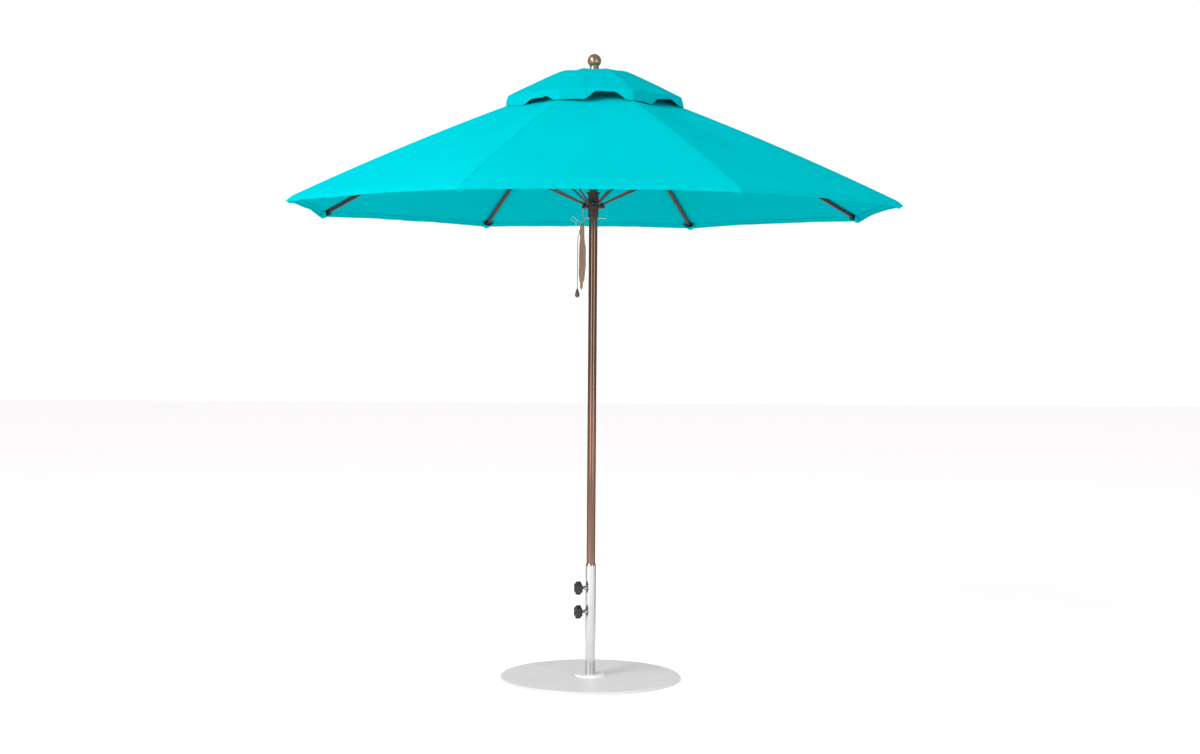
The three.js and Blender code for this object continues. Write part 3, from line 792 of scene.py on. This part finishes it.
ARCH_RISE = [0.030, 0.034, 0.028, 0.032, 0.026, 0.024, 0.040, 0.028]  # by panel, from +X
SHOULDER_KEEP = 0.68  # shares of their width, for the shoulder and side bands
SKIRT_KEEP = 0.40


def cap_z(r):
    """The cap's height, a smooth curve through its profile."""
    points = CAP_PROFILE
    slopes = []
    for k, (x, z) in enumerate(points):
        before, after = points[max(k - 1, 0)], points[min(k + 1, len(points) - 1)]
        slopes.append((after[1] - before[1]) / (after[0] - before[0]))
    slopes[0] = 0.0
    for k in range(len(points) - 1):
        (x0, z0), (x1, z1) = points[k], points[k + 1]
        if r <= x1 or k == len(points) - 2:
            h = x1 - x0
            t = (r - x0) / h
            return (
                (2 * t**3 - 3 * t**2 + 1) * z0
                + (t**3 - 2 * t**2 + t) * h * slopes[k]
                + (-2 * t**3 + 3 * t**2) * z1
                + (t**3 - t**2) * h * slopes[k + 1]
            )


def cap_point(r, w, side, angle):
    x, y = in_panel(r, w)
    belly = 4 * w * (1 - w)
    rounding = 1 + 0.03 * belly * (1 - smooth(r / 0.24))
    lift = 0.005 * belly * smooth((r - 0.2) / 0.2)
    dip = 0.003 * belly * (1 - smooth((r - 0.12) / 0.1))
    slack = CAP_SLACK * panel_wrinkle(1.5 * x, 1.5 * side * y, side, angle, 1) * belly
    slack *= smooth((r - 0.05) / 0.25)
    return Vector((x * rounding, side * y * rounding, cap_z(r) + lift - dip + slack))


def hem_drop(w, side, angle):
    """How far the cap's hem hangs: an arch is left open over each panel."""
    edge = CAP_R * 2 * math.sin(HALF_STEP)
    drop = CAP_DROP + CAP_MID_DROP * 4 * w * (1 - w)
    for way in (-1, 1):
        from_arch = abs(side * w * edge - ARCH_SHIFT - way * edge / 2)
        rise = ARCH_RISE[panel_beside(angle, way)]
        drop -= rise * (1 - smooth((from_arch - ARCH_FLAT) / ARCH_SLOPE))
    return drop


def cap_grid(angle, radii, hem_rows=0):
    """A cap part's points over one rib. It ends in a lap tucked under the next part."""
    cloth_rows = len(radii) - 1

    def point_at(i, signed):
        side, w = side_of(signed), abs(signed)
        p = cap_point(radii[min(i, cloth_rows)], w, side, angle)
        down = max(0, i - cloth_rows) / max(1, hem_rows)
        drop = hem_drop(w, side, angle) * down
        outward = Vector((p.x, p.y, 0)).normalized()
        p += outward * drop * (0.42 - 0.14 * down) + Vector((0, 0, -drop))
        tuck = CAP_TUCK * smooth((signed - 0.5) / 0.04)
        p -= (outward * down + Vector((0, 0, 1))) * tuck
        return p, (p.y, radii[min(i, cloth_rows)] + drop)

    across = [*shares(CAP_COLUMNS), *CAP_LAP]
    return row_grid(angle, cloth_rows + hem_rows, across, point_at)


def radii_between(low, high, rows):
    return [low + (high - low) * i / rows for i in range(rows + 1)]


def make_cap_part(index, angle):
    """The cap over one rib, in three bands so that it can follow the rib down."""
    body = f"rib_{index + 1}"

    def band(name, radii, hem_rows=0):
        grid, uvs = cap_grid(angle, radii, hem_rows)
        return two_layer_sheet(f"{name}_{index + 1}", grid, uvs, CLOTH, cap_cloth)

    top = band("vent_cap_crown", radii_between(CAP_TOP_R, CAP_SPLIT_R, 12))
    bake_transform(top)
    shoulder = band("vent_cap_shoulder", radii_between(CAP_SPLIT_R, CAP_SHOULDER_R, 9))
    skirt = band("vent_cap_side", radii_between(CAP_SHOULDER_R, CAP_R, 14), 8)
    for piece, keep in ((shoulder, SHOULDER_KEEP), (skirt, SKIRT_KEEP)):
        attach(piece, body)
        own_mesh(piece)
    if index == 0:
        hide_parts("vent_cap")


# ---- carried-over CAD nodes ----
EDGE_BEVEL = 0.0003
SHARP_ANGLE = math.radians(32)


def soften(piece):
    """Smooth shading with softened edges."""
    mesh = piece.data
    if "custom_normal" in mesh.attributes:
        mesh.attributes.remove(mesh.attributes["custom_normal"])
    mesh.shade_smooth()
    weld = piece.modifiers.new("weld", "WELD")
    weld.merge_threshold = 0.00002
    edges = piece.modifiers.new("edges", "BEVEL")
    edges.width, edges.segments = EDGE_BEVEL, 2
    edges.limit_method, edges.angle_limit = "ANGLE", SHARP_ANGLE
    edges.harden_normals = True


def paint_nodes():
    slots = {s["node"]: s["material_slot"] for s in frame["record"]["subparts"]}
    for node, piece in frame["nodes"].items():
        piece.data.materials.clear()
        piece.data.materials.append(OWN_MATERIALS.get(node, SLOT_MATERIALS[slots[node]]))
        soften(piece)


# ---- stage ----
FLOOR_HALF = 30.0
FLOOR_COLOR = (0.98, 0.96, 0.96)
BEHIND_Y = 0.9  # the floor further back than this is dim in reflections
REFLECTED_FLOOR = (0.22, 0.22, 0.22, 1.0)
WHITE = (1.0, 1.0, 1.0, 1.0)
BACKGROUND_STRENGTH = 1.06
REFLECTED_STRENGTH = 0.25
LIGHTS = [  # name, place, target, size, watts
    ("strip_left", (-2.75, -4.1, 2.05), (0, 0, 1.9), (1.5, 3.1), 56),
    ("strip_right", (2.75, -3.7, 2.05), (0, 0, 1.9), (1.4, 3.1), 44),
    ("key", (-4.2, -3.4, 5.2), (0, 0, 2.2), (2.6, 2.6), 310),
]


def area_light(name, place, target, size, power):
    light = bpy.data.lights.new(name, "AREA")
    light.shape, light.size, light.size_y = "RECTANGLE", *size
    light.energy = power
    lamp = bpy.data.objects.new(name, light)
    bpy.context.scene.collection.objects.link(lamp)
    lamp.location = place
    lamp.rotation_mode = "QUATERNION"
    lamp.rotation_quaternion = (Vector(target) - Vector(place)).to_track_quat("-Z", "Y")


def make_stage():
    corners = [(-1, -1), (1, -1), (1, 1), (-1, 1)]
    vertices = [(x * FLOOR_HALF, y * FLOOR_HALF, 0) for x, y in corners]
    mesh = bpy.data.meshes.new("floor")
    mesh.from_pydata(vertices, [], [[0, 1, 2, 3]])
    floor = bpy.data.objects.new("floor", mesh)
    bpy.context.scene.collection.objects.link(floor)
    paper = Shader("floor_paper", FLOOR_COLOR, 0.9)
    lit = paper.vary_color(paper.noise(3.0), 0.99, 1.0)
    dim_reflected_floor(paper, lit)
    mesh.materials.append(paper.material)

    make_world()
    for light in LIGHTS:
        area_light(*light)
    bpy.context.scene.view_settings.view_transform = "Standard"


def dim_reflected_floor(paper, lit):
    """What the metal reflects of the floor behind the object is dim, as a studio's far end is."""
    behind = paper.math("GREATER_THAN", paper.axes(paper.where())[1], BEHIND_Y)
    rays = paper.tree.nodes.new("ShaderNodeLightPath")
    dim = paper.math("MULTIPLY", behind, rays.outputs["Is Glossy Ray"])
    paper.paint(paper.mix(dim, lit, REFLECTED_FLOOR))


def make_world():
    """White behind the object and round it, with a dimmer room for what the metal reflects."""
    world = bpy.data.worlds.new("studio")
    bpy.context.scene.world = world
    world.use_nodes = True
    nodes, links = world.node_tree.nodes, world.node_tree.links
    rays = nodes.new("ShaderNodeLightPath")
    mixer = nodes.new("ShaderNodeMixShader")
    white, room = nodes["Background"], nodes.new("ShaderNodeBackground")
    for background, strength in ((white, BACKGROUND_STRENGTH), (room, REFLECTED_STRENGTH)):
        background.inputs["Color"].default_value = WHITE
        background.inputs["Strength"].default_value = strength
    links.new(rays.outputs["Is Glossy Ray"], mixer.inputs[0])
    links.new(white.outputs[0], mixer.inputs[1])
    links.new(room.outputs[0], mixer.inputs[2])
    links.new(mixer.outputs[0], nodes["World Output"].inputs["Surface"])


make_camera()
make_rope()
make_taut_rope()
paint_nodes()
for index in range(RIBS):
    rib_angle = PANEL_ANGLE * (index + 0.5)
    make_gore(index, rib_angle)
    make_cap_part(index, rib_angle)
make_stage()
